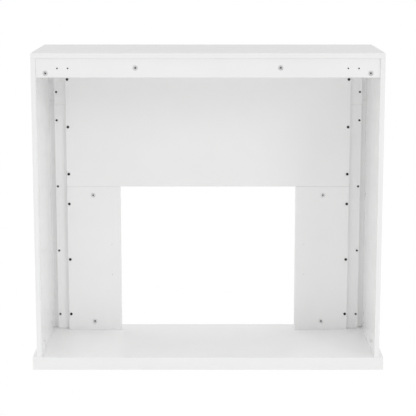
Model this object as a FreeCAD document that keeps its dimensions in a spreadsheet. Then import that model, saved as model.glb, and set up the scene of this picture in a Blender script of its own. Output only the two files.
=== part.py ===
"""White mantel surround for an electric firebox: flat-pack boards, their cam locks, dowels and screws.

Millimetres. X runs across the width, the front faces -Y and the open back faces +Y, and Z is up from the
floor. The origin is on the floor under the middle of the base. Left and right are as seen from the front.
"""

import FreeCAD, Part
import os
from types import SimpleNamespace

import Sketcher

DRIVING_SIZES = {
    # the whole surround
    "overall_width": 1130,
    "overall_depth": 368,
    "overall_height": 1022,
    "board_thickness": 15,
    "top_thickness": 16,
    "eased_edge": 0.8,
    # plinth
    "base_height": 41,
    "base_overhang": 14,
    "brace_spacing": 370,
    "corner_block_leg": 60,
    "corner_block_height": 20,
    # rail under the top, at the back
    "rail_height": 60,
    "rail_recess": 4,
    "strap_hole_radius": 2.5,
    "strap_hole_depth": 12,
    "strap_hole_spacing": 33,
    "strap_hole_from_side": 67,
    "strap_hole_below_top": 31.5,
    # boards round the firebox opening, and the frame in front of them
    "surround_setback": 305,
    "surround_width": 957,
    "opening_width": 594,
    "opening_height": 503,
    "frame_width": 1037,
    "frame_gap": 1,
    "seam_gap": 0.3,
    "header_height": 185,
    "stile_width": 113,
    "frieze_height": 170,
    "pilaster_width": 126,
    "bracket_hole_radius": 1,
    "bracket_hole_depth": 12,
    "bracket_hole_spacing": 106,
    "bracket_hole_height": 290,
    "bracket_hole_inset": 31,
    # cam locks
    "cam_radius": 7.4,
    "cam_height": 12.2,
    "cam_sunk": 0.3,
    "cam_inset": 30,
    "cam_bore_radius": 7.5,
    "bolt_bore_radius": 4,
    "bolt_thread_radius": 2.5,
    "bolt_thread_length": 11,
    "bolt_collar_radius": 3.7,
    "bolt_collar_length": 2,
    "bolt_shank_radius": 3,
    "bolt_neck_radius": 1.9,
    "bolt_neck_length": 6,
    "bolt_head_radius": 3.2,
    "bolt_head_length": 3.4,
    "bolt_grip_before_cam_axis": 2,
    "bolt_chamfer": 1,
    "cam_tunnel_clearance": 0.2,
    "cam_hollow_clearance": 0.3,
    "cam_cross_width": 1.7,
    "cam_cross_depth": 3,
    # dowels
    "dowel_radius": 4,
    "dowel_length": 30,
    "dowel_in_face": 10,
    "dowel_chamfer": 1,
    # pan-head screws
    "panel_screw_head": 4.5,
    "panel_screw_head_height": 2.8,
    "stile_screw_head": 3.6,
    "stile_screw_head_height": 2.2,
    "screw_shank_radius": 1.75,
    "screw_length": 25,
    "screw_tip_length": 4,
    # screws that hold the braces up to the base board
    "brace_screw_head": 4,
    "brace_screw_head_height": 3,
    "brace_screw_sunk": 4,
    "brace_screw_sinking_radius": 4.5,
    "brace_screw_length": 34,
    "brace_screw_inset": 70,
}

SIDES = (("left", -1), ("right", 1))

# Heights and places that repeat down or along a board, in mm from the floor or from the middle.
PANEL_SCREW_HEIGHTS = (97, 290, 484, 587, 748, 909)
PANEL_SCREW_ACROSS = 471.7
STILE_SCREW_HEIGHTS = (92.5, 318, 542, 769, 865)
STILE_SCREW_ACROSS = 511
RAIL_SIDE_CAM_HEIGHT = 959
RAIL_SIDE_DOWEL_HEIGHT = 990
RAIL_TOP_CAM_ACROSS = 226
SIDE_CAM_DEPTHS = (-100, 100)
SIDE_DOWEL_DEPTHS = (-50, 50)
FRONT_CAM_HEIGHTS = (100, 519, 937)
LOWER_PANEL_CAM_ACROSS = 390
LOWER_PANEL_DOWELS_ACROSS = (345, 435)
UPPER_PANEL_CAMS_ACROSS = (-390, 0, 390)
UPPER_PANEL_DOWELS_ACROSS = (-435, -200, 200, 435)
FACE_DOWELS_ACROSS = (455, 520)
FRAME_DOWELS_ACROSS = (435, 495)

# A screw head's outline as shares of its radius and height, and its cross recess likewise.
HEAD_SHOULDER_HEIGHT = 0.45
HEAD_CURVE_RADIUS = 0.9
HEAD_CURVE_HEIGHT = 0.75
HEAD_CROWN_RADIUS = 0.62
HEAD_CROSS_REACH = 0.5
HEAD_CROSS_WIDTH = 0.22
HEAD_CROSS_DEPTH = 0.6
CAM_CROSS_REACH = 0.62

# How far a cutter starts outside the face that it enters.
BREAKTHROUGH = 1

UP = FreeCAD.Vector(0, 0, 1)
DOWN = FreeCAD.Vector(0, 0, -1)
BACK = FreeCAD.Vector(0, 1, 0)
RIGHT = FreeCAD.Vector(1, 0, 0)

document = FreeCAD.newDocument("mantel_surround")
nodes = {}


class Length:
    """A length in mm, and the expression in the sheet's cells that gives it."""

    def __init__(self, value, expression):
        self.value = value
        self.expression = expression

    def __add__(self, other):
        other = as_length(other)
        return Length(self.value + other.value, f"({self.expression} + {other.expression})")

    def __sub__(self, other):
        other = as_length(other)
        return Length(self.value - other.value, f"({self.expression} - {other.expression})")

    def __neg__(self):
        return Length(-self.value, f"(0 - {self.expression})")

    def __mul__(self, factor):
        return Length(self.value * factor, f"({self.expression} * {factor})")

    def __truediv__(self, divisor):
        return Length(self.value / divisor, f"({self.expression} / {divisor})")


def as_length(item):
    """A plain number as a Length, and a Length as it is."""
    if isinstance(item, Length):
        return item
    return Length(float(item), f"{item}")


def make_sheet():
    """Writes the driving sizes to the spreadsheet and gives them back as Lengths by name."""
    sheet = document.addObject("Spreadsheet::Sheet", "dimensions")
    for row, (alias, value) in enumerate(DRIVING_SIZES.items(), start=1):
        sheet.set(f"A{row}", alias)
        sheet.set(f"B{row}", str(value))
        sheet.setAlias(f"B{row}", alias)
    document.recompute()
    lengths = {alias: Length(float(sheet.get(alias)), f"dimensions.{alias}") for alias in DRIVING_SIZES}
    return SimpleNamespace(**lengths)


def bind(target, path, length):
    """Ties one property of an object to the sheet."""
    target.setExpression(path, as_length(length).expression)


def place(target, x, y, z):
    """Puts an object's own origin at a point worked out from the sheet."""
    for axis, length in zip("xyz", (x, y, z)):
        bind(target, f"Placement.Base.{axis}", length)


def origin_plane(body, role):
    """The body's own XY_Plane, XZ_Plane or YZ_Plane."""
    return next(item for item in body.Origin.OriginFeatures if item.Role == role)


def new_sketch(body, name, role):
    """An empty sketch on one of the body's own origin planes."""
    sketch = body.newObject("Sketcher::SketchObject", name)
    sketch.AttachmentSupport = [(origin_plane(body, role), "")]
    sketch.MapMode = "FlatFace"
    return sketch


def draw_outline(sketch, points):
    """A closed outline of straight lines through points given as Lengths from the sketch's origin."""
    corners = [FreeCAD.Vector(across.value, up.value, 0) for across, up in points]
    count = len(points)
    for index in range(count):
        sketch.addGeometry(Part.LineSegment(corners[index], corners[(index + 1) % count]), False)
    for index in range(count):
        sketch.addConstraint(Sketcher.Constraint("Coincident", index, 2, (index + 1) % count, 1))
    for index, (across, up) in enumerate(points):
        hold(sketch, index, "DistanceX", -2, across)
        hold(sketch, index, "DistanceY", -1, up)


def hold(sketch, index, kind, axis, length):
    """Ties the start of one line to an axis: on it when the length is nil, and by a dimension otherwise."""
    if abs(length.value) < 1e-9:
        sketch.addConstraint(Sketcher.Constraint("PointOnObject", index, 1, axis))
        return
    constraint = sketch.addConstraint(Sketcher.Constraint(kind, -1, 1, index, 1, length.value))
    bind(sketch, f"Constraints[{constraint}]", length)


def make_board(name, x_span, y_span, z_span, thin_axis, eased=True):
    """A board as a body: its face drawn on an origin plane, padded by its thickness, its edges eased."""
    low = [as_length(span[0]) for span in (x_span, y_span, z_span)]
    extent = [as_length(span[1]) - span[0] for span in (x_span, y_span, z_span)]
    role, across, along, thick, flipped = {
        "x": ("YZ_Plane", 1, 2, 0, False),
        "y": ("XZ_Plane", 0, 2, 1, True),
        "z": ("XY_Plane", 0, 1, 2, False),
    }[thin_axis]
    nil = as_length(0)
    body = document.addObject("PartDesign::Body", f"{name}_body")
    sketch = new_sketch(body, f"{name}_face", role)
    wide, high = extent[across], extent[along]
    draw_outline(sketch, ((nil, nil), (wide, nil), (wide, high), (nil, high)))
    pad = body.newObject("PartDesign::Pad", f"{name}_pad")
    pad.Profile = sketch
    bind(pad, "Length", extent[thick])
    pad.Reversed = flipped
    if eased:
        document.recompute()
        fillet = body.newObject("PartDesign::Fillet", f"{name}_eased")
        fillet.Base = (pad, ["Edge1"])
        fillet.UseAllEdges = True
        bind(fillet, "Radius", size.eased_edge)
    place(body, *low)
    return body


def make_mitred(name, length, width, thickness):
    """A board mitred at 45 degrees on the edges it folds at: outer face on XZ, inner face towards +Y.

    length and width are (low, high, low inner, high inner): the span of the outer and of the inner face.
    """
    board = document.addObject("Part::Wedge", f"{name}_wedge")
    for path, value in zip(("Xmin", "Xmax", "X2min", "X2max"), length):
        bind(board, path, value)
    for path, value in zip(("Zmin", "Zmax", "Z2min", "Z2max"), width):
        bind(board, path, value)
    bind(board, "Ymin", 0)
    bind(board, "Ymax", thickness)
    return board


def make_turned(name, profile):
    """A body turned about its own Z axis from (radius, height) points."""
    body = document.addObject("PartDesign::Body", name)
    sketch = new_sketch(body, f"{name}_profile", "XZ_Plane")
    draw_outline(sketch, profile)
    turned = body.newObject("PartDesign::Revolution", f"{name}_turned")
    turned.Profile = sketch
    turned.ReferenceAxis = (sketch, ["V_Axis"])
    turned.Angle = 360
    return body


def cut_cross(name, blank, top, reach, width, depth):
    """A cross recess for a screwdriver in the +Z end of a turned piece."""
    slots = []
    for turn, (slot_x, slot_y) in enumerate(((reach * 2, width), (width, reach * 2))):
        slot = document.addObject("Part::Box", f"{name}_slot_{turn}")
        bind(slot, "Length", slot_x)
        bind(slot, "Width", slot_y)
        bind(slot, "Height", depth)
        place(slot, slot_x / -2, slot_y / -2, top - depth)
        slots.append(slot)
    cross = document.addObject("Part::MultiFuse", f"{name}_cross")
    cross.Shapes = slots
    return cut(name, blank, cross)


def cut(name, base, tool):
    """One shape less another, as an object of its own."""
    result = document.addObject("Part::Cut", name)
    result.Base = base
    result.Tool = tool
    return result


def add_node(label, item):
    """Names an object as a finished piece."""
    item.Label = label
    nodes[label] = item


# --- boards ---------------------------------------------------------------------------------------------


def span_on_side(sign, near, far):
    """The span from near to far on one side of the middle, low end first."""
    return (near, far) if sign > 0 else (-far, -near)


def make_carcass_boards():
    """Top, sides and the rail that joins them at the back."""
    boards = {
        "top_board": make_board(
            "top_board",
            (-half_body, half_body),
            (back - top_depth, back),
            (top_under, size.overall_height),
            "z",
        ),
        "rear_top_rail": make_board(
            "rear_top_rail",
            (-half_inside, half_inside),
            (back - size.rail_recess - size.board_thickness, back - size.rail_recess),
            (top_under - size.rail_height, top_under),
            "y",
        ),
    }
    for side, sign in SIDES:
        name = f"side_panel_{side}"
        across = span_on_side(sign, half_inside, half_body)
        boards[name] = make_board(name, across, (frame_front, back), (size.base_height, top_under), "x")
    return boards


def make_surround_boards():
    """One wide board over the firebox opening and one narrow board each side of it."""
    depth = (surround_front, back - size.surround_setback)
    half_width = size.surround_width / 2
    opening_top = size.base_height + size.opening_height
    boards = {
        "upper_surround_panel": make_board(
            "upper_surround_panel", (-half_width, half_width), depth, (opening_top, top_under), "y"
        ),
    }
    for side, sign in SIDES:
        name = f"lower_surround_panel_{side}"
        across = span_on_side(sign, size.opening_width / 2, half_width)
        boards[name] = make_board(name, across, depth, (size.base_height, opening_top - size.seam_gap), "y")
    return boards


def make_frame_boards():
    """The header and stiles in front of the surround panels, and the frieze and pilasters over them."""
    half_width = size.frame_width / 2
    header_under = top_under - size.header_height
    frieze_under = top_under - size.frieze_height
    foot = size.base_height + size.frame_gap
    frame_depth = (frame_front, surround_front)
    face_depth = (frame_front - size.board_thickness, frame_front)
    boards = {
        "header_backing": make_board(
            "header_backing", (-half_width, half_width), frame_depth, (header_under, top_under), "y"
        ),
        "frieze_face": make_board(
            "frieze_face", (-half_body, half_body), face_depth, (frieze_under, top_under), "y"
        ),
    }
    for side, sign in SIDES:
        stile = span_on_side(sign, half_width - size.stile_width, half_width)
        pilaster = span_on_side(sign, half_body - size.pilaster_width, half_body)
        stile_name = f"stile_{side}"
        pilaster_name = f"pilaster_face_{side}"
        stile_span = (foot, header_under - size.seam_gap)
        pilaster_span = (foot, frieze_under - size.seam_gap)
        boards[stile_name] = make_board(stile_name, stile, frame_depth, stile_span, "y")
        boards[pilaster_name] = make_board(pilaster_name, pilaster, face_depth, pilaster_span, "y")
    return boards


def make_base_boards():
    """The base board and the four aprons folded down from it, all mitred where they meet."""
    thick = size.board_thickness
    half_width = size.overall_width / 2
    half_depth = size.overall_depth / 2
    across = (-half_width, half_width, thick - half_width, half_width - thick)
    along = (-half_depth, half_depth, thick - half_depth, half_depth - thick)
    upright = (as_length(0), size.base_height, as_length(0), size.base_height - thick)
    base = make_mitred("base_board", across, along, thick)
    base.Placement.Rotation = FreeCAD.Rotation(RIGHT, -90)
    place(base, 0, 0, size.base_height)
    boards = {"base_board": base}
    aprons = (
        ("front", across, 0, 0, -half_depth),
        ("right", along, 90, half_width, 0),
        ("rear", across, 180, 0, half_depth),
        ("left", along, 270, -half_width, 0),
    )
    for side, length, turn, x, y in aprons:
        name = f"base_{side}_apron"
        apron = make_mitred(name, length, upright, thick)
        apron.Placement.Rotation = FreeCAD.Rotation(UP, turn)
        place(apron, x, y, 0)
        boards[name] = apron
    return boards


def make_base_braces():
    """Three boards on edge under the base board, from the front apron to the rear one."""
    inside = size.overall_depth / 2 - size.board_thickness
    under = size.base_height - size.board_thickness
    half_thick = size.board_thickness / 2
    boards = {}
    for place_name, step in (("left", -1), ("centre", 0), ("right", 1)):
        name = f"base_brace_{place_name}"
        middle = size.brace_spacing * step
        across = (middle - half_thick, middle + half_thick)
        boards[name] = make_board(name, across, (-inside, inside), (0, under), "x", eased=False)
    return boards


def make_corner_blocks():
    """A glued triangular block in each inside corner of the base."""
    leg = size.corner_block_leg
    nil = as_length(0)
    inside_x = size.overall_width / 2 - size.board_thickness
    inside_y = size.overall_depth / 2 - size.board_thickness
    foot = size.base_height - size.board_thickness - size.corner_block_height
    corners = (
        ("front_left", 0, -inside_x, -inside_y),
        ("front_right", 90, inside_x, -inside_y),
        ("rear_right", 180, inside_x, inside_y),
        ("rear_left", 270, -inside_x, inside_y),
    )
    for corner, turn, x, y in corners:
        name = f"base_corner_block_{corner}"
        body = document.addObject("PartDesign::Body", f"{name}_body")
        sketch = new_sketch(body, f"{name}_outline", "XY_Plane")
        draw_outline(sketch, ((nil, nil), (leg, nil), (nil, leg)))
        pad = body.newObject("PartDesign::Pad", f"{name}_pad")
        pad.Profile = sketch
        bind(pad, "Length", size.corner_block_height)
        body.Placement.Rotation = FreeCAD.Rotation(UP, turn)
        place(body, x, y, foot)
        add_node(name, body)


# --- one of each fastener, along its own Z axis -----------------------------------------------------------


def make_cam_bolt():
    """A cam's bolt: thread below the joint at Z = 0, collar, shank, neck and the head that the cam grips."""
    nil = as_length(0)
    chamfer = size.bolt_chamfer
    grip = size.cam_inset - size.bolt_grip_before_cam_axis
    neck_start = grip - size.bolt_neck_length
    head_end = grip + size.bolt_head_length
    tip = -size.bolt_thread_length
    profile = (
        (nil, tip),
        (size.bolt_thread_radius - chamfer, tip),
        (size.bolt_thread_radius, tip + chamfer),
        (size.bolt_thread_radius, nil),
        (size.bolt_collar_radius, nil),
        (size.bolt_collar_radius, size.bolt_collar_length),
        (size.bolt_shank_radius, size.bolt_collar_length),
        (size.bolt_shank_radius, neck_start - chamfer),
        (size.bolt_neck_radius, neck_start),
        (size.bolt_neck_radius, grip),
        (size.bolt_head_radius, grip),
        (size.bolt_head_radius, head_end - chamfer),
        (size.bolt_head_radius - chamfer, head_end),
        (nil, head_end),
    )
    return make_turned("cam_bolt_master", profile)


def make_cam_nut():
    """A cam across its bolt's axis, turned face towards +X, with a cross recess and a hooked hollow."""
    grip = size.cam_inset - size.bolt_grip_before_cam_axis
    blank = document.addObject("Part::Cylinder", "cam_nut_blank")
    bind(blank, "Radius", size.cam_radius)
    bind(blank, "Height", size.cam_height)
    crossed = cut_cross(
        "cam_nut_crossed",
        blank,
        size.cam_height,
        size.cam_radius * CAM_CROSS_REACH,
        size.cam_cross_width,
        size.cam_cross_depth,
    )
    crossed.Placement.Rotation = FreeCAD.Rotation(BACK, 90)
    face = size.board_thickness / 2 - size.cam_sunk
    place(crossed, face - size.cam_height, 0, size.cam_inset)
    tunnel = document.addObject("Part::Cylinder", "cam_nut_neck_tunnel")
    bind(tunnel, "Radius", size.bolt_neck_radius + size.cam_tunnel_clearance)
    bind(tunnel, "Height", size.cam_inset)
    hollow = document.addObject("Part::Cylinder", "cam_nut_head_hollow")
    bind(hollow, "Radius", size.bolt_head_radius + size.cam_hollow_clearance)
    bind(hollow, "Height", size.bolt_head_length + size.cam_hollow_clearance * 2)
    place(hollow, 0, 0, grip)
    inside = document.addObject("Part::MultiFuse", "cam_nut_inside")
    inside.Shapes = [tunnel, hollow]
    return cut("cam_nut_master", crossed, inside)


def make_dowel():
    """A beech dowel with chamfered ends, its joint at Z = 0 and its longer end above it."""
    nil = as_length(0)
    low = -size.dowel_in_face
    high = low + size.dowel_length
    end_radius = size.dowel_radius - size.dowel_chamfer
    profile = (
        (nil, low),
        (end_radius, low),
        (size.dowel_radius, low + size.dowel_chamfer),
        (size.dowel_radius, high - size.dowel_chamfer),
        (end_radius, high),
        (nil, high),
    )
    return make_turned("dowel_master", profile)


def make_screw(name, head_radius, head_height, length):
    """A pan-head screw: the underside of its head at Z = 0, its point below, a cross recess on top."""
    nil = as_length(0)
    profile = (
        (nil, -length),
        (size.screw_shank_radius, size.screw_tip_length - length),
        (size.screw_shank_radius, nil),
        (head_radius, nil),
        (head_radius, head_height * HEAD_SHOULDER_HEIGHT),
        (head_radius * HEAD_CURVE_RADIUS, head_height * HEAD_CURVE_HEIGHT),
        (head_radius * HEAD_CROWN_RADIUS, head_height),
        (nil, head_height),
    )
    blank = make_turned(f"{name}_blank", profile)
    reach = head_radius * HEAD_CROSS_REACH
    width = head_radius * HEAD_CROSS_WIDTH
    return cut_cross(name, blank, head_height, reach, width, head_height * HEAD_CROSS_DEPTH)


# --- joints: where each fastener sits, and the holes drilled for it ---------------------------------------


def aim(point, along, facing):
    """A placement at point with its Z along one direction and its X facing another."""
    across = along.cross(facing)
    matrix = FreeCAD.Matrix(
        facing.x, across.x, along.x, point.x,
        facing.y, across.y, along.y, point.y,
        facing.z, across.z, along.z, point.z,
        0, 0, 0, 1,
    )
    return FreeCAD.Placement(matrix)


def bore(placement, radius, low, high):
    """A round cutter along a placement's Z axis, from low to high."""
    start = placement.multVec(UP * low)
    return Part.makeCylinder(radius, high - low, start, placement.Rotation.multVec(UP))


def cam_bores(placement):
    """The thread's hole, the bolt's bore in the board's edge, and the cam's hole in its face."""
    centre = placement.multVec(UP * size.cam_inset.value)
    facing = placement.Rotation.multVec(RIGHT)
    half_thick = size.board_thickness.value / 2
    depth = size.cam_height.value + size.cam_sunk.value
    mouth = centre + facing * (half_thick + BREAKTHROUGH)
    return [
        bore(placement, size.bolt_thread_radius.value, -size.bolt_thread_length.value, 0),
        bore(placement, size.bolt_bore_radius.value, 0, size.cam_inset.value),
        Part.makeCylinder(size.cam_bore_radius.value, depth + BREAKTHROUGH, mouth, -facing),
    ]


def dowel_bores(placement):
    """One hole across the joint, as deep each way as the dowel goes."""
    low = -size.dowel_in_face.value
    return [bore(placement, size.dowel_radius.value, low, low + size.dowel_length.value)]


def screw_bores(placement, length):
    """A straight pilot hole that the shank fills."""
    return [bore(placement, size.screw_shank_radius.value, -length, 0)]


def brace_screw_bores(placement):
    """A pilot hole, and a wider one that sinks the head into the brace's foot."""
    mouth = size.brace_screw_sunk.value + BREAKTHROUGH
    sinking = bore(placement, size.brace_screw_sinking_radius.value, 0, mouth)
    return screw_bores(placement, size.brace_screw_length.value) + [sinking]


def at(x, y, z):
    """A point in the assembly, in mm."""
    return FreeCAD.Vector(x, y, z)


def rail_cam_places():
    """Two cams hold the rail to the sides and two hold it to the top."""
    middle = rail_middle.value
    places = []
    for _, sign in SIDES:
        end = at(sign * half_inside.value, middle, RAIL_SIDE_CAM_HEIGHT)
        places.append(aim(end, RIGHT * -sign, BACK))
        places.append(aim(at(sign * RAIL_TOP_CAM_ACROSS, middle, top_under.value), DOWN, BACK))
    return places


def surround_cam_places():
    """Cams in the surround panels: lower ones to the base and to the upper one, and that one to the top."""
    middle = surround_middle.value
    opening_top = (size.base_height + size.opening_height).value
    places = []
    for _, sign in SIDES:
        across = sign * LOWER_PANEL_CAM_ACROSS
        places.append(aim(at(across, middle, size.base_height.value), UP, BACK))
        places.append(aim(at(across, middle, opening_top), DOWN, BACK))
    for across in UPPER_PANEL_CAMS_ACROSS:
        places.append(aim(at(across, middle, top_under.value), DOWN, BACK))
    return places


def side_cam_places(height, along):
    """Cams inside each side panel, at its foot or its head."""
    return [
        aim(at(sign * side_middle.value, depth, height), along, RIGHT * -sign)
        for _, sign in SIDES
        for depth in SIDE_CAM_DEPTHS
    ]


def front_cam_places():
    """Cams inside each side panel's front edge, which hold the pilaster and the frieze."""
    return [
        aim(at(sign * side_middle.value, frame_front.value, height), BACK, RIGHT * -sign)
        for _, sign in SIDES
        for height in FRONT_CAM_HEIGHTS
    ]


def rail_dowel_places():
    """A dowel in each end of the rail, above its cam."""
    return [
        aim(at(sign * half_inside.value, rail_middle.value, RAIL_SIDE_DOWEL_HEIGHT), RIGHT * -sign, BACK)
        for _, sign in SIDES
    ]


def side_dowel_places():
    """Dowels between each side panel and the base, and between it and the top."""
    places = []
    for _, sign in SIDES:
        for depth in SIDE_DOWEL_DEPTHS:
            places.append(aim(at(sign * side_middle.value, depth, size.base_height.value), UP, BACK))
            places.append(aim(at(sign * side_middle.value, depth, top_under.value), DOWN, BACK))
    return places


def surround_dowel_places():
    """Dowels at the foot, the middle seam and the head of the surround panels."""
    middle = surround_middle.value
    opening_top = (size.base_height + size.opening_height).value
    places = []
    for _, sign in SIDES:
        for across in LOWER_PANEL_DOWELS_ACROSS:
            places.append(aim(at(sign * across, middle, size.base_height.value), UP, BACK))
            places.append(aim(at(sign * across, middle, opening_top), DOWN, BACK))
    for across in UPPER_PANEL_DOWELS_ACROSS:
        places.append(aim(at(across, middle, top_under.value), DOWN, BACK))
    return places


def frame_dowel_places():
    """Dowels that join the stiles to the header, and the pilasters to the frieze."""
    half_thick = size.board_thickness.value / 2
    header_under = (top_under - size.header_height).value
    frieze_under = (top_under - size.frieze_height).value
    places = []
    for _, sign in SIDES:
        for across in FRAME_DOWELS_ACROSS:
            places.append(aim(at(sign * across, frame_front.value + half_thick, header_under), DOWN, BACK))
        for across in FACE_DOWELS_ACROSS:
            places.append(aim(at(sign * across, frame_front.value - half_thick, frieze_under), DOWN, BACK))
    return places


def screw_places(across, face, heights):
    """Screws driven forwards from a board's rear face, in a row up each side."""
    return [aim(at(sign * across, face, height), BACK, UP) for _, sign in SIDES for height in heights]


def brace_screw_places():
    """Two screws driven up through each brace into the base board."""
    reach = (size.overall_depth / 2 - size.brace_screw_inset).value
    spacing = size.brace_spacing.value
    return [
        aim(at(step * spacing, depth, size.brace_screw_sunk.value), DOWN, BACK)
        for step in (-1, 0, 1)
        for depth in (-reach, reach)
    ]


def blind_bore(point, radius, depth):
    """A hole drilled forwards from a board's rear face."""
    return bore(aim(point, BACK, UP), radius, -depth, BREAKTHROUGH)


def strap_bores():
    """Empty pilot holes for the wall straps, a pair in each end of the rail."""
    rail_face = (back - size.rail_recess).value
    height = (top_under - size.strap_hole_below_top).value
    outer = (half_inside - size.strap_hole_from_side).value
    radius = size.strap_hole_radius.value
    depth = size.strap_hole_depth.value
    return [
        blind_bore(at(sign * across, rail_face, height), radius, depth)
        for _, sign in SIDES
        for across in (outer, outer - size.strap_hole_spacing.value)
    ]


def bracket_bores():
    """Empty pilot holes for the firebox brackets, a pair each side of the opening."""
    panel_face = (back - size.surround_setback).value
    across = (size.opening_width / 2 + size.bracket_hole_inset).value
    middle = size.bracket_hole_height.value
    half_spacing = size.bracket_hole_spacing.value / 2
    radius = size.bracket_hole_radius.value
    depth = size.bracket_hole_depth.value
    return [
        blind_bore(at(sign * across, panel_face, height), radius, depth)
        for _, sign in SIDES
        for height in (middle - half_spacing, middle + half_spacing)
    ]


def add_group(label, master, places):
    """Copies of one fastener as one node of separate solids."""
    copies = []
    for placement in places:
        copy = master.Shape.copy()
        copy.Placement = placement.multiply(copy.Placement)
        copies.append(copy)
    group = document.addObject("Part::Feature", label)
    group.Shape = Part.makeCompound(copies)
    add_node(label, group)


def drill_boards(boards, cutters):
    """Cuts each board by the holes that reach it, and names the result as the board's node."""
    for name, board in boards.items():
        box = board.Shape.BoundBox
        reaching = [cutter for cutter in cutters if box.intersect(cutter.BoundBox)]
        if not reaching:
            add_node(name, board)
            continue
        holes = document.addObject("Part::Feature", f"{name}_holes")
        holes.Shape = Part.makeCompound(reaching)
        add_node(name, cut(f"{name}_drilled", board, holes))


def check_and_export():
    """Stops on any failed object or poor shape, then writes one STEP file for each node."""
    for item in document.Objects:
        faults = {"Invalid", "Error"} & set(item.State)
        if faults:
            raise RuntimeError(f"{item.Name} is {faults}")
    os.makedirs("parts", exist_ok=True)
    for label, item in nodes.items():
        shape = item.Shape
        if shape.isNull() or not shape.isValid() or not shape.Solids:
            raise RuntimeError(f"{label} has no valid solid")
        shape.exportStep(f"parts/{label}.step")
        print(f"{label}: {len(shape.Solids)} solid(s), {shape.Volume / 1000:.1f} cm3")


size = make_sheet()
back = size.overall_depth / 2
half_body = size.overall_width / 2 - size.base_overhang
half_inside = half_body - size.board_thickness
side_middle = half_inside + size.board_thickness / 2
top_under = size.overall_height - size.top_thickness
top_depth = size.overall_depth - size.base_overhang
rail_middle = back - size.rail_recess - size.board_thickness / 2
surround_front = back - size.surround_setback - size.board_thickness
surround_middle = surround_front + size.board_thickness / 2
frame_front = surround_front - size.board_thickness

boards = {
    **make_carcass_boards(),
    **make_surround_boards(),
    **make_frame_boards(),
    **make_base_boards(),
    **make_base_braces(),
}
make_corner_blocks()
cam_bolt = make_cam_bolt()
cam_nut = make_cam_nut()
dowel = make_dowel()
panel_screw = make_screw(
    "panel_screw_master", size.panel_screw_head, size.panel_screw_head_height, size.screw_length
)
stile_screw = make_screw(
    "stile_screw_master", size.stile_screw_head, size.stile_screw_head_height, size.screw_length
)
brace_screw = make_screw(
    "brace_screw_master", size.brace_screw_head, size.brace_screw_head_height, size.brace_screw_length
)
document.recompute()

cutters = strap_bores() + bracket_bores()
cam_groups = {
    "rail": rail_cam_places(),
    "surround": surround_cam_places(),
    "side_foot": side_cam_places(size.base_height.value, UP),
    "side_head": side_cam_places(top_under.value, DOWN),
    "side_front": front_cam_places(),
}
for group, places in cam_groups.items():
    add_group(f"{group}_cam_nuts", cam_nut, places)
    add_group(f"{group}_cam_bolts", cam_bolt, places)
    for placement in places:
        cutters += cam_bores(placement)

dowel_groups = {
    "rail": rail_dowel_places(),
    "side": side_dowel_places(),
    "surround": surround_dowel_places(),
    "frame": frame_dowel_places(),
}
for group, places in dowel_groups.items():
    add_group(f"{group}_dowels", dowel, places)
    for placement in places:
        cutters += dowel_bores(placement)

panel_screws = screw_places(PANEL_SCREW_ACROSS, (back - size.surround_setback).value, PANEL_SCREW_HEIGHTS)
stile_screws = screw_places(STILE_SCREW_ACROSS, surround_front.value, STILE_SCREW_HEIGHTS)
brace_screws = brace_screw_places()
add_group("surround_panel_screws", panel_screw, panel_screws)
add_group("stile_screws", stile_screw, stile_screws)
add_group("base_brace_screws", brace_screw, brace_screws)
for placement in panel_screws + stile_screws:
    cutters += screw_bores(placement, size.screw_length.value)
for placement in brace_screws:
    cutters += brace_screw_bores(placement)

drill_boards(boards, cutters)
document.recompute()
check_and_export()
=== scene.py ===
"""White mantel surround for an electric firebox, seen from its open back in a plain white studio."""

import math

import bmesh
import bpy
from mathutils import Matrix, Vector


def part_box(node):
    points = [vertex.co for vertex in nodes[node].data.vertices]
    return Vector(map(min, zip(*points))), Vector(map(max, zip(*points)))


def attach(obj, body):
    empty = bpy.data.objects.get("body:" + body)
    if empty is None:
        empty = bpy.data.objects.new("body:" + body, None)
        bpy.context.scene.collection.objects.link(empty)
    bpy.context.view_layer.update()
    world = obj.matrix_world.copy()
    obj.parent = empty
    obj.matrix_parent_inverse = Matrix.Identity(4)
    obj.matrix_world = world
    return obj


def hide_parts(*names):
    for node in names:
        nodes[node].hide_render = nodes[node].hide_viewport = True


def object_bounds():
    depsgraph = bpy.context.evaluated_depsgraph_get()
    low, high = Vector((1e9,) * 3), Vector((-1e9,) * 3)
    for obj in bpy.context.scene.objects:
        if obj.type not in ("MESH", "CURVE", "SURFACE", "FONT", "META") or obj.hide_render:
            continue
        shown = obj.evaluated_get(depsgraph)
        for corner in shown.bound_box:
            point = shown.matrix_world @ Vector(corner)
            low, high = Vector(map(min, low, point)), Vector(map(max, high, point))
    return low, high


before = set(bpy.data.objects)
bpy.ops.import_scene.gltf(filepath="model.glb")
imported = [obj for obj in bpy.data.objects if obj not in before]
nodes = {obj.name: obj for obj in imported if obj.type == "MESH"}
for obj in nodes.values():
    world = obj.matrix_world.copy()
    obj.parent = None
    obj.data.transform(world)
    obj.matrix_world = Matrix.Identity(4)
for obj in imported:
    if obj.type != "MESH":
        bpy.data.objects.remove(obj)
cad_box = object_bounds()

MM = 0.001
STEPS_ROUND = 24
GOLDEN_TURN = math.radians(137.5)
SHARP_ANGLE = math.radians(35)

BACK = Vector((0, 1, 0))
UP = Vector((0, 0, 1))

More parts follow.
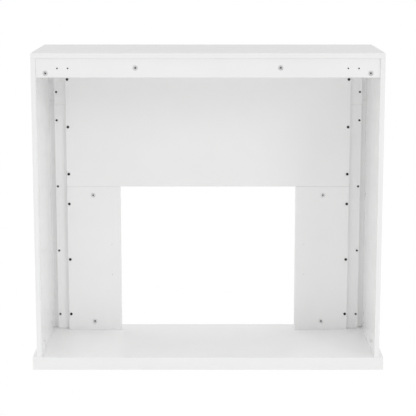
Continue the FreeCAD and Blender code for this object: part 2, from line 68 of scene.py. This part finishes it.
PAINTED_BOARDS = (
    "top_board", "rear_top_rail", "side_panel_left", "side_panel_right", "upper_surround_panel",
    "lower_surround_panel_left", "lower_surround_panel_right", "header_backing", "frieze_face",
    "stile_left", "stile_right", "pilaster_face_left", "pilaster_face_right",
    "base_board", "base_front_apron", "base_rear_apron", "base_left_apron", "base_right_apron",
)
BRACES = ("base_brace_left", "base_brace_centre", "base_brace_right")
CORNER_BLOCKS = tuple(name for name in nodes if name.startswith("base_corner_block"))
CAM_GROUPS = ("rail", "surround", "side_foot", "side_head", "side_front")
CAM_BOLTS = tuple(f"{group}_cam_bolts" for group in CAM_GROUPS)
UPRIGHT_DOWELS = ("side_dowels", "surround_dowels", "frame_dowels")


# --- material helpers -------------------------------------------------------------------------------------


def new_material(name, roughness, metallic=0.0):
    """A material with its node tree and its one Principled shader."""
    material = bpy.data.materials.new(name)
    material.use_nodes = True
    tree = material.node_tree
    shader = tree.nodes["Principled BSDF"]
    shader.inputs["Roughness"].default_value = roughness
    shader.inputs["Metallic"].default_value = metallic
    return material, tree, shader


def stretched_place(tree, stretch=(1, 1, 1)):
    """The point on the object in metres, squeezed or stretched along each axis."""
    place = tree.nodes.new("ShaderNodeTexCoord")
    mapping = tree.nodes.new("ShaderNodeMapping")
    mapping.inputs["Scale"].default_value = stretch
    tree.links.new(place.outputs["Object"], mapping.inputs["Vector"])
    return mapping.outputs["Vector"]


def cloudy(tree, place, per_metre, detail=2.0):
    """Soft noise with about per_metre lumps to the metre."""
    noise = tree.nodes.new("ShaderNodeTexNoise")
    noise.inputs["Scale"].default_value = per_metre
    noise.inputs["Detail"].default_value = detail
    tree.links.new(place, noise.inputs["Vector"])
    return noise.outputs["Fac"]


def colour_between(tree, factor, low, high, start=0.35, end=0.65):
    """A colour that goes from low to high as the factor goes from start to end."""
    ramp = tree.nodes.new("ShaderNodeValToRGB")
    first, last = ramp.color_ramp.elements
    first.position, last.position = start, end
    first.color, last.color = (*low, 1), (*high, 1)
    tree.links.new(factor, ramp.inputs["Fac"])
    return ramp.outputs["Color"]


def number_between(tree, factor, low, high):
    """A number that goes from low to high over the middle of the factor's range."""
    spread = tree.nodes.new("ShaderNodeMapRange")
    spread.inputs["From Min"].default_value = 0.3
    spread.inputs["From Max"].default_value = 0.7
    spread.inputs["To Min"].default_value = low
    spread.inputs["To Max"].default_value = high
    tree.links.new(factor, spread.inputs["Value"])
    return spread.outputs["Result"]


def add_relief(tree, shader, height, depth, strength):
    """Bumps the surface by a height that runs from 0 to 1, over a depth in metres."""
    bump = tree.nodes.new("ShaderNodeBump")
    bump.inputs["Strength"].default_value = strength
    bump.inputs["Distance"].default_value = depth
    tree.links.new(height, bump.inputs["Height"])
    tree.links.new(bump.outputs["Normal"], shader.inputs["Normal"])


def set_colour(tree, shader, colour):
    tree.links.new(colour, shader.inputs["Base Color"])


def set_roughness(tree, shader, roughness):
    tree.links.new(roughness, shader.inputs["Roughness"])


# --- materials --------------------------------------------------------------------------------------------


def white_satin_paint():
    """Sprayed white satin: slight drift in tone and sheen, and fine orange peel."""
    material, tree, shader = new_material("white_satin_paint", 0.5)
    place = stretched_place(tree)
    drift = cloudy(tree, place, per_metre=5, detail=3)
    set_colour(tree, shader, colour_between(tree, drift, (0.936, 0.936, 0.934), (0.952, 0.952, 0.951)))
    set_roughness(tree, shader, number_between(tree, cloudy(tree, place, per_metre=22), 0.195, 0.215))
    add_relief(tree, shader, cloudy(tree, place, per_metre=420, detail=3), depth=0.02 * MM, strength=0.15)
    return material


def bare_fibreboard():
    """Cut fibreboard: greyish brown, with fine fibres and darker flecks."""
    material, tree, shader = new_material("bare_fibreboard", 0.85)
    place = stretched_place(tree)
    fibres = cloudy(tree, place, per_metre=900, detail=6)
    set_colour(tree, shader, colour_between(tree, fibres, (0.2, 0.165, 0.13), (0.36, 0.31, 0.25)))
    set_roughness(tree, shader, number_between(tree, fibres, 0.75, 0.95))
    add_relief(tree, shader, fibres, depth=0.2 * MM, strength=0.5)
    return material


def planed_softwood():
    """Pale softwood with long growth lines along X."""
    material, tree, shader = new_material("planed_softwood", 0.6)
    growth = tree.nodes.new("ShaderNodeTexWave")
    growth.bands_direction = "Y"
    growth.inputs["Scale"].default_value = 45
    growth.inputs["Distortion"].default_value = 3.5
    growth.inputs["Detail"].default_value = 3
    tree.links.new(stretched_place(tree, (0.15, 1, 1)), growth.inputs["Vector"])
    lines = growth.outputs["Fac"]
    wood = colour_between(tree, lines, (0.45, 0.28, 0.13), (0.68, 0.5, 0.29), start=0.1, end=0.8)
    set_colour(tree, shader, wood)
    planing = cloudy(tree, stretched_place(tree), per_metre=60)
    set_roughness(tree, shader, number_between(tree, planing, 0.52, 0.7))
    add_relief(tree, shader, lines, depth=0.1 * MM, strength=0.4)
    return material


def beech(name, stretch):
    """Beech with short fine flecks along the grain."""
    material, tree, shader = new_material(name, 0.55)
    flecks = cloudy(tree, stretched_place(tree, stretch), per_metre=1400, detail=4)
    set_colour(tree, shader, colour_between(tree, flecks, (0.46, 0.28, 0.15), (0.66, 0.46, 0.29)))
    set_roughness(tree, shader, number_between(tree, flecks, 0.45, 0.65))
    add_relief(tree, shader, flecks, depth=0.1 * MM, strength=0.4)
    return material


def cast_metal(name, dark, light, roughness, grain):
    """Metal with a fine cast or plated grain: roughness is (smoothest, roughest)."""
    material, tree, shader = new_material(name, roughness[0], metallic=1.0)
    place = stretched_place(tree)
    clouds = cloudy(tree, place, per_metre=grain / 4, detail=3)
    set_colour(tree, shader, colour_between(tree, clouds, dark, light))
    set_roughness(tree, shader, number_between(tree, cloudy(tree, place, per_metre=grain), *roughness))
    pits = cloudy(tree, place, per_metre=grain * 2, detail=4)
    add_relief(tree, shader, pits, depth=0.05 * MM, strength=0.4)
    return material


def dark_steel_and_painted_shade(name, dark, light, roughness):
    """A near-black coat with a low sheen, rubbed a little lighter in places: blackened steel on the screws,
    and painted shade in the cams' recesses.
    """
    material, tree, shader = new_material(name, roughness[0])
    shader.inputs["Specular IOR Level"].default_value = 0.3
    place = stretched_place(tree)
    set_colour(tree, shader, colour_between(tree, cloudy(tree, place, per_metre=700, detail=4), dark, light))
    set_roughness(tree, shader, number_between(tree, cloudy(tree, place, per_metre=1500), *roughness))
    add_relief(tree, shader, cloudy(tree, place, per_metre=3000, detail=2), depth=0.03 * MM, strength=0.4)
    return material


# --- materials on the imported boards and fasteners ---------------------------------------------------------


def dress(names, *materials):
    """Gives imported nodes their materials, the first one all over."""
    for name in names:
        surface = nodes[name].data
        surface.materials.clear()
        for material in materials:
            surface.materials.append(material)
        for face in surface.polygons:
            face.material_index = 0


def bare_the_cut_faces(name, eased_edge=1.0 * MM):
    """Turns a painted board's second material on wherever a face lies inside the board's own box."""
    low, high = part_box(name)
    for face in nodes[name].data.polygons:
        depths = [min(face.center[axis] - low[axis], high[axis] - face.center[axis]) for axis in range(3)]
        if min(depths) > eased_edge:
            face.material_index = 1


def dress_boards():
    paint = white_satin_paint()
    fibreboard = bare_fibreboard()
    dress(PAINTED_BOARDS, paint, fibreboard)
    for name in PAINTED_BOARDS:
        bare_the_cut_faces(name)
    dress(BRACES, fibreboard)
    dress(CORNER_BLOCKS, planed_softwood())


def dress_hidden_fasteners():
    steel = cast_metal("zinc_plated_steel", (0.5, 0.5, 0.49), (0.66, 0.65, 0.62), (0.28, 0.42), 900)
    dress(CAM_BOLTS + ("base_brace_screws",), steel)
    dress(UPRIGHT_DOWELS, beech("beech_upright", (1, 1, 0.12)))
    dress(("rail_dowels",), beech("beech_across", (0.12, 1, 1)))


# --- shapes for the detailed fasteners --------------------------------------------------------------------


def lathe(name, rings):
    """A closed mesh through rings of (height, radii), each with one radius for every step round Z."""
    shape = bmesh.new()
    loops = []
    for height, radii in rings:
        loop = []
        for step, radius in enumerate(radii):
            angle = math.tau * step / len(radii)
            loop.append(shape.verts.new((radius * math.cos(angle), radius * math.sin(angle), height)))
        loops.append(loop)
    for lower, upper in zip(loops, loops[1:]):
        for step in range(len(lower)):
            after = (step + 1) % len(lower)
            shape.faces.new((lower[step], lower[after], upper[after], upper[step]))
    shape.faces.new(reversed(loops[0]))
    shape.faces.new(loops[-1])
    return finished_mesh(name, shape)


def round_rings(profile):
    """Plain round rings from (radius, height) pairs."""
    return [(height, [radius] * STEPS_ROUND) for radius, height in profile]


def finished_mesh(name, shape):
    mesh = bpy.data.meshes.new(name)
    shape.to_mesh(mesh)
    shape.free()
    return mesh


def straight_sided(name, lower, upper):
    """A closed mesh between a lower and an upper outline that have the same number of points."""
    shape = bmesh.new()
    lower = [shape.verts.new(point) for point in lower]
    upper = [shape.verts.new(point) for point in upper]
    for side in range(len(lower)):
        after = (side + 1) % len(lower)
        shape.faces.new((lower[side], lower[after], upper[after], upper[side]))
    shape.faces.new(reversed(lower))
    shape.faces.new(upper)
    return finished_mesh(name, shape)


def tapered_block(name, top, bottom, top_height, bottom_height):
    """A block whose rectangular top and bottom are (half length, half width)."""
    outlines = []
    for (half_length, half_width), height in ((bottom, bottom_height), (top, top_height)):
        signs = ((-1, -1), (1, -1), (1, 1), (-1, 1))
        outlines.append([(x * half_length, y * half_width, height) for x, y in signs])
    return straight_sided(name, *outlines)


def cross_cutters(name, reach, half_width, depth, face):
    """Two tapered blocks that cut a cross recess into a face at the given height."""
    above = 0.3 * MM
    foot_reach, foot_half_width = reach * 0.4, half_width * 0.6
    cutters = []
    for turn in (0, 90):
        cutter = tapered_block(
            f"{name}_{turn}",
            (reach, half_width),
            (foot_reach, foot_half_width),
            face + above,
            face - depth,
        )
        cutter.transform(Matrix.Rotation(math.radians(turn), 4, "Z"))
        cutters.append(cutter)
    return cutters


def carve(blank, cutters):
    """The blank less each cutter in turn."""
    body = bpy.data.objects.new(blank.name, blank)
    tools = [bpy.data.objects.new(cutter.name, cutter) for cutter in cutters]
    for item in [body, *tools]:
        bpy.context.scene.collection.objects.link(item)
    for tool in tools:
        cut = body.modifiers.new(tool.name, "BOOLEAN")
        cut.operation = "DIFFERENCE"
        cut.solver = "EXACT"
        cut.object = tool
    seen = body.evaluated_get(bpy.context.evaluated_depsgraph_get())
    carved = bpy.data.meshes.new_from_object(seen)
    for item in [body, *tools]:
        bpy.data.objects.remove(item)
    return carved


def thread_rings(length, core, crest, pitch, tip_length):
    """Rings up a wood screw's shank from its point to Z = 0, with one thread that rises once a turn."""
    rings_per_turn = 6
    crest_share = 0.55
    tip_core = 0.25
    count = round(length / pitch * rings_per_turn)
    rings = []
    for index in range(count + 1):
        height = length * (index / count - 1)
        swell = min(1.0, tip_core + (1 - tip_core) * (height + length) / tip_length)
        radii = []
        for step in range(STEPS_ROUND):
            phase = (height / pitch - step / STEPS_ROUND) % 1
            rise = max(0.0, 1 - abs(phase - 0.5) * 2 / crest_share)
            radii.append(swell * (core + (crest - core) * rise))
        rings.append((height, radii))
    return rings


def pan_head_screw(name, head_radius, head_height, length):
    """A pan-head wood screw: its head's underside at Z = 0, its point below, a cross recess on top."""
    core, crest, pitch, tip_length = 1.25 * MM, 1.7 * MM, 1.8 * MM, 4 * MM
    thread = thread_rings(length, core, crest, pitch, tip_length)
    underside, rim_foot, rim_height = 0.01 * MM, 0.2 * MM, head_height * 0.35
    eased_edge = 0.15 * MM
    crown_share = 0.3
    dome_steps = 6
    dome = []
    for step in range(dome_steps + 1):
        angle = math.radians(90 * step / dome_steps)
        radius = head_radius * (crown_share + (1 - crown_share) * math.cos(angle))
        dome.append((radius, rim_height + (head_height - rim_height) * math.sin(angle)))
    head = [(head_radius - eased_edge, underside), (head_radius, rim_foot), *dome]
    blank = lathe(name, thread + round_rings(head))
    recess_reach, recess_half_width = head_radius * 0.52, head_radius * 0.13
    recess_depth = head_height * 0.72
    recess = cross_cutters(f"{name}_recess", recess_reach, recess_half_width, recess_depth, head_height)
    return carve(blank, recess)


def arrow_cutter():
    """A shallow triangle near the cam's rim, pointing at the bolt."""
    point, base, half_base, depth = 6.6 * MM, 5.2 * MM, 0.9 * MM, 0.35 * MM
    corners = ((point, 0), (base, half_base), (base, -half_base))
    outlines = [[(x, y, height) for x, y in corners] for height in (-depth, depth)]
    return straight_sided("cam_arrow", *outlines)


def cam_nut():
    """A die-cast cam with its turned face at Z = 0, its bolt coming in from +X, and an arrow towards it."""
    radius = 7.4 * MM
    depth = 12.2 * MM
    chamfer = 0.5 * MM
    bolt_depth = -7.2 * MM
    profile = (
        (radius - chamfer, -depth),
        (radius, chamfer - depth),
        (radius, -chamfer),
        (radius - chamfer, 0),
    )
    recess_reach, recess_half_width, recess_depth = 3.9 * MM, 1.1 * MM, 2.8 * MM
    tunnel_radius, hollow_radius, half_hollow = 2.1 * MM, 3.5 * MM, 2 * MM
    recess = cross_cutters("cam_recess", recess_reach, recess_half_width, recess_depth, 0)
    turned_away = Matrix.Rotation(math.radians(45), 4, "Z")
    for cutter in recess:
        cutter.transform(turned_away)
    tunnel = lathe("cam_tunnel", round_rings(((tunnel_radius, 0), (tunnel_radius, radius + chamfer))))
    hollow = lathe("cam_hollow", round_rings(((hollow_radius, -half_hollow), (hollow_radius, half_hollow))))
    towards_bolt = Matrix.Translation((0, 0, bolt_depth)) @ Matrix.Rotation(math.radians(90), 4, "Y")
    for cutter in (tunnel, hollow):
        cutter.transform(towards_bolt)
    return carve(lathe("cam_nut", round_rings(profile)), [*recess, tunnel, hollow, arrow_cutter()])


def paint_recess_shade(cam):
    """Turns a cam's second material, a near-black painted shade, on in its cross recess and arrow, but not on
    its rim or far end.
    """
    inside_rim = 6.8 * MM
    shallowest, deepest = 0.05 * MM, 3 * MM
    for face in cam.polygons:
        out_from_axis = face.center.xy.length
        below_face = -face.center.z
        if out_from_axis < inside_rim and shallowest < below_face < deepest:
            face.material_index = 1


# --- where the detailed fasteners go ----------------------------------------------------------------------


def solids_in(name, reach=45 * MM):
    """The (lowest, highest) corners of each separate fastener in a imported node."""
    clusters = []
    for vertex in nodes[name].data.vertices:
        near = [cluster for cluster in clusters if (vertex.co - cluster[0]).length < reach]
        if near:
            near[0].append(vertex.co)
        else:
            clusters.append([vertex.co])
    boxes = []
    for cluster in clusters:
        low = Vector(min(point[axis] for point in cluster) for axis in range(3))
        high = Vector(max(point[axis] for point in cluster) for axis in range(3))
        boxes.append((low, high))
    return boxes


def facing_frame(origin, facing, aside):
    """A matrix that puts Z along facing and X along aside."""
    across = facing.cross(aside)
    turn = Matrix((aside, across, facing)).transposed().to_4x4()
    return Matrix.Translation(origin) @ turn


def screw_frames(name, head_height):
    """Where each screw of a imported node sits, each turned on its axis by a different angle."""
    frames = []
    for index, (low, high) in enumerate(solids_in(name)):
        middle = (low + high) / 2
        under_head = Vector((middle.x, high.y - head_height, middle.z))
        turned = Matrix.Rotation(index * GOLDEN_TURN, 4, "Z")
        frames.append(facing_frame(under_head, BACK, UP) @ turned)
    return frames


def cam_frames(group):
    """Where each cam of a group sits: its face towards the open back or the inside, its X at its bolt."""
    bolts = [(low + high) / 2 for low, high in solids_in(f"{group}_cam_bolts")]
    frames = []
    for low, high in solids_in(f"{group}_cam_nuts"):
        middle = (low + high) / 2
        inwards = Vector((-math.copysign(1, middle.x), 0, 0))
        facing = inwards if group.startswith("side") else BACK
        half_height = abs((high - low).dot(facing)) / 2
        to_bolt = min((bolt - middle for bolt in bolts), key=lambda way: way.length)
        axis = max(range(3), key=lambda index: abs(to_bolt[index]))
        aside = Vector((0, 0, 0))
        aside[axis] = math.copysign(1, to_bolt[axis])
        frames.append(facing_frame(middle + facing * half_height, facing, aside))
    return frames


def place_copies(name, part, frames, materials, replaced):
    """One piece made of a copy of the part at each place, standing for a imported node."""
    group = bmesh.new()
    for place in frames:
        copy = part.copy()
        copy.transform(place)
        group.from_mesh(copy)
        bpy.data.meshes.remove(copy)
    mesh = finished_mesh(name, group)
    mesh.shade_smooth()
    mesh.set_sharp_from_angle(angle=SHARP_ANGLE)
    for material in materials:
        mesh.materials.append(material)
    piece = bpy.data.objects.new(name, mesh)
    bpy.context.scene.collection.objects.link(piece)
    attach(piece, "root")
    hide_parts(replaced)


def make_screws():
    shank_length = 25 * MM
    sizes = (
        ("surround_panel_screws", 4.5 * MM, 2.8 * MM, "black_screw",
         dark_steel_and_painted_shade("black_oxide", (0.012, 0.012, 0.012), (0.03, 0.03, 0.03), (0.35, 0.5))),
        ("stile_screws", 3.6 * MM, 2.2 * MM, "dark_screw",
         dark_steel_and_painted_shade("dark_plating", (0.03, 0.03, 0.031), (0.06, 0.06, 0.061), (0.3, 0.45))),
    )
    for name, head_radius, head_height, slot_name, material in sizes:
        part = pan_head_screw(name, head_radius, head_height, shank_length)
        frames = screw_frames(name, head_height)
        place_copies(f"{name}_detailed", part, frames, [material], name)


def make_cams():
    zinc = cast_metal("die_cast_zinc", (0.82, 0.82, 0.825), (0.92, 0.92, 0.925), (0.45, 0.6), 1200)
    # The cams' second material is painted shade: near black in the cross recess and arrow, where shadow
    # falls.
    recess_shade = dark_steel_and_painted_shade("cam_recess_painted_shade", (0.02, 0.02, 0.02), (0.05, 0.05, 0.05), (0.6, 0.8))
    part = cam_nut()
    paint_recess_shade(part)
    for group in CAM_GROUPS:
        name = f"{group}_cam_nuts"
        place_copies(f"{name}_detailed", part, cam_frames(group), [zinc, recess_shade], name)


# --- studio -----------------------------------------------------------------------------------------------


# Broad light from the sky: the way to each lobe's middle, and its strength there.
SKY_LOBES = (
    ((0, 0, 1), 1.15),
    ((-1, 0, 0), 0.95),
    ((1, 0, 0), 1.15),
    ((0, -1, 0), 0.53),
    ((0, 1, 0), 0.25),
)
# Lamps: the way to each from the object, how wide it looks in degrees, and its strength.
LAMPS = (
    ("key", (-0.907, 1.0, 0.5), 22, 0.38),
    ("fill", (0.6, 1.0, 0.35), 60, 0.14),
)
FLOOR_GREY = 0.3
FLOOR_GLOW = 0.63
FLOOR_SIZE = 60
FLOOR_DROP = 0.5 * MM
# The camera: its place behind the open back, and how far it looks down.
CAMERA_SENSOR_MM = 36
CAMERA_LENS_MM = 110.2
CAMERA_SHIFT_UP = -0.12
CAMERA_FROM_BACK = 3.942
CAMERA_HEIGHT = 1.349
CAMERA_LOOKS_DOWN = math.radians(9.45)


def add_lobe(tree, direction, way, strength):
    """Light from the sky that is strongest one way and fades to nothing a right angle from it."""
    towards = tree.nodes.new("ShaderNodeVectorMath")
    towards.operation = "DOT_PRODUCT"
    towards.inputs[1].default_value = way
    tree.links.new(direction, towards.inputs[0])
    this_side = tree.nodes.new("ShaderNodeMath")
    this_side.operation = "MAXIMUM"
    this_side.inputs[1].default_value = 0.0
    tree.links.new(towards.outputs["Value"], this_side.inputs[0])
    squared = tree.nodes.new("ShaderNodeMath")
    squared.operation = "POWER"
    squared.inputs[1].default_value = 2.0
    tree.links.new(this_side.outputs["Value"], squared.inputs[0])
    scaled = tree.nodes.new("ShaderNodeMath")
    scaled.operation = "MULTIPLY"
    scaled.inputs[1].default_value = strength
    tree.links.new(squared.outputs["Value"], scaled.inputs[0])
    return scaled.outputs["Value"]


def add_numbers(tree, first, second):
    total = tree.nodes.new("ShaderNodeMath")
    total.operation = "ADD"
    tree.links.new(first, total.inputs[0])
    tree.links.new(second, total.inputs[1])
    return total.outputs["Value"]


def make_world():
    """A world that looks plain white, but lights the object by the sum of the sky's lobes."""
    world = bpy.data.worlds.new("studio")
    world.use_nodes = True
    tree = world.node_tree
    lit = tree.nodes["Background"]
    lit.inputs["Color"].default_value = (1, 1, 1, 1)
    place = tree.nodes.new("ShaderNodeTexCoord")
    direction = place.outputs["Generated"]
    brightness = add_lobe(tree, direction, *SKY_LOBES[0])
    for lobe in SKY_LOBES[1:]:
        brightness = add_numbers(tree, brightness, add_lobe(tree, direction, *lobe))
    tree.links.new(brightness, lit.inputs["Strength"])
    backdrop = tree.nodes.new("ShaderNodeBackground")
    backdrop.inputs["Color"].default_value = (1, 1, 1, 1)
    seen = tree.nodes.new("ShaderNodeLightPath")
    choice = tree.nodes.new("ShaderNodeMixShader")
    tree.links.new(seen.outputs["Is Camera Ray"], choice.inputs["Fac"])
    tree.links.new(lit.outputs["Background"], choice.inputs[1])
    tree.links.new(backdrop.outputs["Background"], choice.inputs[2])
    tree.links.new(choice.outputs["Shader"], tree.nodes["World Output"].inputs["Surface"])
    bpy.context.scene.world = world


def make_floor():
    """A glowing floor that lights the object from below; the picture shows the white world in its place."""
    bpy.ops.mesh.primitive_plane_add(size=FLOOR_SIZE, location=(0, 0, -FLOOR_DROP))
    floor = bpy.context.object
    floor.name = "studio_floor"
    material, tree, shader = new_material("pale_floor", 1.0)
    shader.inputs["Base Color"].default_value = (FLOOR_GREY, FLOOR_GREY, FLOOR_GREY, 1)
    shader.inputs["Specular IOR Level"].default_value = 0.0
    shader.inputs["Emission Color"].default_value = (1, 1, 1, 1)
    shader.inputs["Emission Strength"].default_value = FLOOR_GLOW
    floor.data.materials.append(material)
    floor.visible_camera = False


def make_lamps():
    """A key and a wide fill from either side of the open back, kept out of every reflection.

    The key's reflection would whiten the top from the opposite front corner.
    """
    for name, way, width, strength in LAMPS:
        light = bpy.data.lights.new(name, "SUN")
        light.energy = strength
        light.angle = math.radians(width)
        lamp = bpy.data.objects.new(name, light)
        lamp.rotation_euler = Vector(way).to_track_quat("Z", "Y").to_euler()
        lamp.visible_glossy = False
        bpy.context.scene.collection.objects.link(lamp)


def make_camera():
    """A long lens behind the middle of the open back, higher than the top board, looking slightly down."""
    back_of_object = cad_box[1].y
    camera = bpy.data.cameras.new("camera")
    camera.sensor_width = CAMERA_SENSOR_MM
    camera.lens = CAMERA_LENS_MM
    camera.shift_y = CAMERA_SHIFT_UP
    eye = bpy.data.objects.new("camera", camera)
    eye.location = (0, back_of_object + CAMERA_FROM_BACK, CAMERA_HEIGHT)
    eye.rotation_euler = (math.radians(90) - CAMERA_LOOKS_DOWN, 0, math.radians(180))
    bpy.context.scene.collection.objects.link(eye)
    bpy.context.scene.camera = eye


dress_boards()
dress_hidden_fasteners()
make_screws()
make_cams()
make_world()
make_floor()
make_lamps()
make_camera()
bpy.context.scene.view_settings.view_transform = "Standard"
bpy.context.scene.cycles.diffuse_bounces = 12
